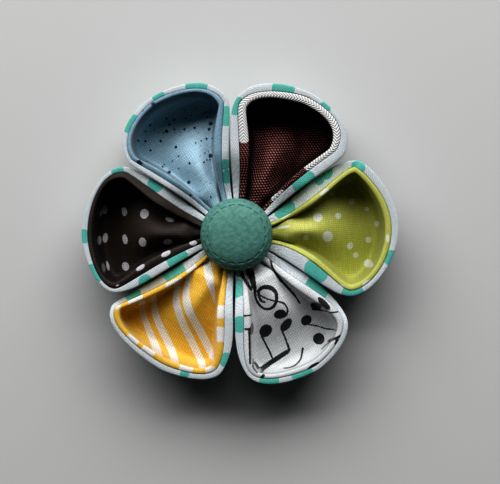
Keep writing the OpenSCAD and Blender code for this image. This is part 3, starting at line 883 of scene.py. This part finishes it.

# The blue lining: light blue cotton with a spatter of navy specks, most of them very fine, and one
# navy blotch on its left edge. Its rolled edge is painted a darker blue, as painted shade.
BLUE = (0.44, 0.64, 0.75)
BLUE_SHADE = (0.37, 0.56, 0.68)
# Painted shade on the rolled edge: a darker blue there
BLUE_ROLL_PAINTED_SHADE = (0.30, 0.47, 0.58)
BLUE_ROLL_PAINTED_SHADE_SLUB = (0.22, 0.37, 0.49)
NAVY = (0.012, 0.020, 0.055)
BLUE_SPECKS = (
    (-83.5, 130.5, 1.9), (-26.5, 113, 2.0), (-28, 107.5, 1.5), (-43, 109, 1.3), (-53.5, 107.7, 1.2),
    (-64, 108, 1.1), (-72, 106, 1.9), (-75, 104.5, 1), (-69, 112.5, 1.1), (-52, 119, 1), (-64, 117.5, 1.2),
    (-30, 120, 1), (-72, 119, 0.9), (-88.5, 112, 1.1), (-93.5, 106, 0.9), (-84.5, 107, 0.8),
    (-78, 96, 1.4), (-93.5, 96, 1.2), (-100.5, 96, 1.2), (-62, 89, 1.5), (-88.5, 86.5, 1.1),
    (-59, 79.5, 1), (-41.5, 93, 0.9), (-36, 95.2, 0.9), (-30.5, 97.5, 1.2), (-24.5, 97.5, 1),
    (-32, 82.5, 0.9), (-26.2, 79.8, 2.2), (-30, 75.3, 0.9), (-27, 76, 1), (-33, 73, 1.1), (-47.5, 72, 1.2),
    (-65.5, 75, 0.8), (-74, 71.5, 0.9), (-76, 69.5, 0.9), (-59, 67, 0.8), (-69, 63.5, 1.8),
    (-64.5, 57.5, 0.8), (-48.5, 53, 1.9), (-46, 39.3, 1.2), (-26, 37.5, 1), (-36.8, 79.5, 0.7),
    (-36.5, 90, 0.6), (-58, 101.5, 0.6), (-26.5, 89, 0.6), (-91.5, 75, 0.8), (-45.5, 142, 0.5),
    (-93.5, 123.5, 0.8), (-97.5, 72.3, 2.6), (-95.5, 71, 1.8),
)
FINE_SPECKS = 70
FINE_RANGES = ((-100, -22), (30, 138), (0.3, 0.65))
speck_chance = np.random.default_rng(12)
fine_specks = zip(*(speck_chance.uniform(*limits, FINE_SPECKS) for limits in FINE_RANGES))
blue_marks = [*BLUE_SPECKS, *fine_specks]
# The fold ink is painted shade over the whole rolled edge
blue_inks = [("fold", BLUE_ROLL_PAINTED_SHADE, BLUE_ROLL_PAINTED_SHADE_SLUB), ("specks", NAVY, NAVY)]
# The crease beside the roll is darkened by painted shade
blue_cotton = cotton("blue_cotton", BLUE, BLUE_SHADE, blue_inks, crease_painted_shade=(0.4, (0.1, 1.3)))
lining("blue", {"fold": lambda at: at.past_roll, "specks": lambda at: marks(at, blue_marks)}, blue_cotton)

# The brown lining: near-black brown cotton with white dots in rows. The dots on the steep wall at the
# tip are seen from the side, as slivers.
BROWN = (0.044, 0.030, 0.023)
BROWN_SHADE = (0.026, 0.018, 0.014)
BROWN_DOTS = (
    (-134.5, 25.5, 2.6, 4.5, -8), (-138.2, 22, 0.9, 3.6, -12), (-114.5, 23.5, 2.7, 4.7, 8),
    (-93.5, 21, 4.5, 5, 0), (-67.5, 15, 4.6, 2.2, -15), (-139.7, -6, 1.6, 4.6, 0),
    (-134.3, -3.5, 2.6, 4.8, -8), (-113.5, -4.7, 2.7, 4.8, 10), (-95, -7.8, 3.9, 4.7, 10),
    (-69.5, -7.5, 4.6, 2.7, 5), (-43.5, -8.5, 4, 2.7, 0), (-135, -33.5, 1.1, 4.3, 15),
    (-131.8, -32, 1.2, 4.6, 12), (-113.5, -32.5, 3.6, 4.6, 12), (-70.5, -19.3, 5, 2.6, 28),
    (-96, -33.3, 4.8, 2.3, 33), (-119, -51, 1.8, 0.8, 20),
)
BROWN_DOT = (0.70, 0.69, 0.72)
BROWN_DOT_SHADE = (0.58, 0.57, 0.61)
# The crease beside the roll is darkened by painted shade
brown_cotton = cotton(
    "brown_cotton", BROWN, BROWN_SHADE, [("dots", BROWN_DOT, BROWN_DOT_SHADE)],
    sheen=0.03, shine=0.35, crease_painted_shade=(0.3, (0.2, 2.2)),
)
lining("brown", {"dots": lambda at: marks(at, BROWN_DOTS)}, brown_cotton)

# The yellow lining: golden cotton with pairs of cream stripes, which show in the cup as long bands
# and on the rolled edge as short bars.
YELLOW = (0.91, 0.575, 0.08)
YELLOW_SHADE = (0.84, 0.49, 0.055)
CREAM = (0.88, 0.85, 0.81)
CREAM_SHADE = (0.82, 0.78, 0.73)
YELLOW_BANDS = (
    ((-30, -22, 6), (-29.5, -32, 8), (-27.5, -42, 8.5), (-25.5, -52, 6.5), (-23.5, -61, 4), (-22, -69, 2)),
    ((-60, -50, 5.5), (-61, -66, 7), (-59, -76, 7.7), (-55.7, -86, 7.5), (-51.5, -96, 7.7),
     (-46.5, -106, 7.8), (-42.2, -116, 7.5), (-37, -126, 7), (-32.5, -138, 6.5)),
    ((-48, -42, 5), (-50.5, -56, 6.5), (-50.3, -66, 8), (-47.8, -76, 8.3), (-43, -86, 8),
     (-37.8, -96, 8.3), (-32.8, -106, 8.2), (-28.2, -116, 7.5), (-24.5, -125, 5)),
    ((-95, -66, 6), (-95.8, -77, 6), (-93.3, -86, 6.3), (-89.7, -96, 6.5), (-85.3, -106, 6.8),
     (-80.5, -116, 7), (-76, -127, 7)),
    ((-84, -60, 5), (-83, -76, 6.8), (-80.5, -86, 7), (-76.3, -96, 7.4), (-71.3, -106, 7.4),
     (-66.5, -116, 7.2), (-61, -130, 6.5)),
)
YELLOW_BARS = (
    (-104.5, -105.5, 6.5, 6, -50), (-89, -117.5, 7, 6, -38), (-50, -133, 7, 6, -18), (-26, -138, 5, 6, 0),
    (-16, -77.5, 6.5, 6, 88), (-17, -100, 7.5, 6, 85), (-121, -70, 4, 5, 60), (-101, -65.3, 7.5, 5, 8),
    (-61.5, -50.5, 9, 5, 24), (-44, -36, 5.5, 5, 38),
)


def yellow_print(at):
    """The bands inside the cup and the bars on its rolled edge."""
    bands = np.maximum(strokes(at, YELLOW_BANDS), -at.past_roll)
    bars = np.maximum(marks(at, YELLOW_BARS, 8), at.past_roll)
    return np.minimum(bands, bars)


# The crease beside the roll is darkened by painted shade
yellow_cotton = cotton(
    "yellow_cotton", YELLOW, YELLOW_SHADE, [("stripes", CREAM, CREAM_SHADE)],
    relief=0.45, crease_painted_shade=(0.78, (0, 1.6)),
)
lining("yellow", {"stripes": yellow_print}, yellow_cotton)

# The note lining: white cotton printed with black music notes at all angles, a clef among them. It is
# folded and rolled as the others are.
NOTE_WHITE = (0.78, 0.79, 0.80)
NOTE_SHADE = (0.69, 0.71, 0.72)
INK = (0.008, 0.008, 0.010)
CLEF = (
    ((16, -38, 4), (18.3, -51, 3.5), (19, -62, 2.6), (22.5, -70.5, 2.6), (29.5, -75.3, 2.6),
     (36.5, -73, 3), (40.3, -66, 3.3), (39, -57.5, 4), (33, -53.3, 4.8), (26, -53.5, 4),
     (22.3, -57.5, 3.2), (22.8, -63, 2.6), (25, -67, 2.4), (28.5, -68.3, 2.2)),
    ((24, -61.5, 1.6), (30, -64.5, 1.6), (36, -66.3, 1.6), (42, -67.5, 1.8), (47.5, -69.3, 1.8),
     (51, -74, 2), (51, -79.5, 2), (48, -83, 2)),
)
NOTE_LINES = (
    ((25.5, -103, 2), (31, -114, 2), (37, -127, 2)),
    ((46, -97, 2), (50, -107, 2), (54, -118, 2)),
    ((18.5, -130, 2), (22, -135, 2.4)),
    ((71, -91, 1.4), (82, -93, 1.4), (91, -95.8, 1.4), (100, -96.5, 1.2)),
    ((77, -76, 1.4), (86, -77, 1.4), (95, -78.3, 1.4), (103, -77, 1.4)),
    ((47.5, -135.5, 0.8), (54, -134.3, 1), (61, -131, 1.3), (65.5, -125.5, 1.6), (67.3, -116, 1.9)),
    ((93, -108, 1.6), (98, -104.5, 2.2), (104.5, -101.5, 2.8)),
    ((100.5, -106, 3), (99, -109.5, 2)),
    ((86, -116, 0.7), (94, -108, 0.9)),
    ((7.5, -81.5, 1.8), (15.5, -80.8, 1.6)),
    ((9, -94.7, 2.2), (14, -94.7, 2.6)),
    ((12.9, -96, 2.3), (13.3, -111, 2.3), (13.7, -129, 2)),
    ((4, -37, 3), (8, -45, 3.6), (14.5, -55, 3)),
    ((10, -33, 4), (14, -42, 4.4), (17.5, -53, 4)),
    ((34.5, -26, 2), (36.5, -34, 2.2), (43, -44, 2.6), (52, -54, 2.6), (59, -62, 2.2), (64, -69.5, 1.6)),
    ((17, -126, 1), (16.8, -133, 1.2), (20.5, -138, 1)),
)
NOTE_HEADS = (
    (43.8, -80.3, 6, 4.6, 20), (29.5, -97.5, 7, 5.8, 50), (50, -91.5, 7.8, 4.4, 52),
    (70.8, -87, 5.6, 5, 40), (83.5, -106, 5.9), (80.5, -72.5, 5.6, 4, -20), (15.5, -95, 1.8, 6, 0),
    (87.5, -69, 8.5, 3, -45), (78, -132.8, 7.8, 3.4, 30), (26.3, -142, 3, 1.6, 45),
)
NOTE_BEAM = ((39, -127.5, 18, 2.5, 34),)
# The crease beside the roll is darkened by painted shade
note_cotton = cotton(
    "note_cotton", NOTE_WHITE, NOTE_SHADE, [("ink", INK, INK)], edge=0.05, crease_painted_shade=(0.65, (0.08, 0.42))
)


def note_print(at):
    """The notes' stems, heads and beam, and the clef."""
    solid = np.minimum(marks(at, NOTE_HEADS), marks(at, NOTE_BEAM, 8))
    return np.minimum(strokes(at, CLEF + NOTE_LINES), solid)


lining("note", {"ink": note_print}, note_cotton)

# The button: green leather drawn over a domed mould, pebbled, with two rings of sunk stitches near its
# edge. It sits on the petals' throats on a short sewn shank.
BUTTON_HEIGHT = 5.4
BUTTON_EDGE = 1.2
DOME_POWER = 0.87
SHANK_RADIUS = 2.5
BUTTON_BOTTOM = THROAT_RIM + LAYER_GAP
BUTTON_TURNS = 480
STITCHES = 20
STITCH_RINGS = ((0.80, 0), (0.912, 0.5))
STITCH_WIDTH = 0.55
STITCH_SHARE = 0.66
STITCH_DEPTH = 0.24
STITCH_FADE = 0.07
# The profile's rings as shares of the radius: from, to and how many, and the shoulder's one by one
FACE_RINGS = (0, 0.72, 22)
STITCHED_RINGS = (0.74, 0.97, 44)
SHOULDER_RINGS = (0.98, 0.988, 0.995, 1)
EDGE_RINGS = 8
LEATHER = (0.125, 0.290, 0.250)
LEATHER_PORE = (0.090, 0.225, 0.190)
PEBBLES_PER_METRE = 1900.0
CLOUDS_PER_METRE = 900.0
CLOUD_DETAIL = 3.0
CLOUD_WEIGHT = 1.4
CLOUD_RANGE = (0.35, 0.65)


def dome(share):
    """Height of the face over its rim at a share of the radius: a full, near elliptical dome.

    It is 1 less a power of the share, itself raised to a power.
    """
    level = np.sqrt(1 - np.minimum(share, 1) ** (2 / DOME_POWER))
    return (BUTTON_HEIGHT - BUTTON_EDGE) * level**DOME_POWER


def stitch_dent(radius, around):
    """Depth of the stitch rings: each a row of short troughs, a raised cosine across and along."""
    dent = np.zeros(np.broadcast(radius, around).shape)
    for ring, shift in STITCH_RINGS:
        across = np.clip(np.abs(radius - ring * BUTTON_RADIUS) / STITCH_WIDTH, 0, 0.5)
        phase = (around / (2 * pi) * STITCHES + shift) % 1
        along = smooth((STITCH_SHARE / 2 - np.abs(phase - 0.5)) / STITCH_FADE + 0.5)
        dent += STITCH_DEPTH * (1 + np.cos(2 * pi * across)) / 2 * along
    return dent


def leather_button():
    """The button: a profile of radii and heights turned about the flower's middle, less the dents."""
    face = np.concatenate([np.linspace(*FACE_RINGS), np.linspace(*STITCHED_RINGS), SHOULDER_RINGS])
    edge = np.linspace(0, -pi / 2, EDGE_RINGS + 1)[1:]
    radius = np.concatenate([
        face * BUTTON_RADIUS, BUTTON_RADIUS - BUTTON_EDGE * (1 - np.cos(edge)),
        (SHANK_RADIUS, SHANK_RADIUS, 0),
    ])
    shank = THROAT_KEEL - BUTTON_BOTTOM
    height = BUTTON_BOTTOM + np.concatenate([
        BUTTON_EDGE + dome(face), BUTTON_EDGE * (1 + np.sin(edge)), (0, shank, shank),
    ])
    around = np.linspace(0, 2 * pi, BUTTON_TURNS, endpoint=False)[None, :]
    ring, level = radius[:, None], height[:, None] * np.ones_like(around)
    level = level - np.where(level > BUTTON_BOTTOM + BUTTON_EDGE, stitch_dent(ring, around), 0)
    points = np.stack([ring * np.cos(around), ring * np.sin(around), level], axis=-1)
    rows = len(radius)
    index = np.arange(rows * BUTTON_TURNS).reshape(rows, BUTTON_TURNS)
    index[0], index[-1] = 0, index[-1, 0]
    after = np.roll(index, -1, axis=1)
    a, b, c, d = index[:-1], index[1:], after[1:], after[:-1]
    faces = np.concatenate([np.stack([a, b, c], axis=-1), np.stack([a, c, d], axis=-1)])
    return cloth_mesh("leather_button", points.reshape(-1, 3), faces.reshape(-1, 3), {})


def green_leather():
    """Leather with a fine pebble: cells between pores, and a slow change of colour."""
    nodes = Nodes("green_leather")
    place = nodes.put("ShaderNodeTexCoord").outputs["Object"]
    cells = {"Vector": place, "Scale": PEBBLES_PER_METRE}
    pebble = nodes.put("ShaderNodeTexVoronoi", cells, feature="SMOOTH_F1")
    cloud = nodes.noise(place, CLOUDS_PER_METRE, CLOUD_DETAIL)
    height = nodes.math("SUBTRACT", nodes.math("MULTIPLY", cloud, CLOUD_WEIGHT), pebble.outputs["Distance"])
    colour = nodes.blend(nodes.ramp(cloud, *CLOUD_RANGE), LEATHER_PORE, LEATHER)
    return nodes.surface(colour, height, roughness=0.62, shine=0.35, relief=0.45, depth=0.12)


button = leather_button()
button.data.materials.append(green_leather())
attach(button, "root")
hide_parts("button")

# The pin back: the round steel pad that the petals are fixed to, with the pin between two posts. It
# stays the plain solid of the frame, in brushed steel.
STEEL = (0.55, 0.55, 0.56)
STEEL_SHADE = (0.42, 0.42, 0.43)
BRUSH_MARKS = (300.0, 9000.0, 9000.0)
STEEL_ROUGHNESS = (0.2, 0.8, 0.28, 0.45)


def brushed_steel():
    """Steel whose noise is drawn out along one way."""
    nodes = Nodes("brushed_steel")
    place = nodes.put("ShaderNodeTexCoord").outputs["Object"]
    grain = nodes.noise(nodes.vectors("MULTIPLY", place, BRUSH_MARKS))
    nodes.join(nodes.shader.inputs["Base Color"], nodes.blend(grain, STEEL_SHADE, STEEL))
    nodes.join(nodes.shader.inputs["Roughness"], nodes.ramp(grain, *STEEL_ROUGHNESS))
    nodes.shader.inputs["Metallic"].default_value = 1.0
    return nodes.material


pin_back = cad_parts["pin_back"]
pin_back.data.materials.clear()
pin_back.data.materials.append(brushed_steel())
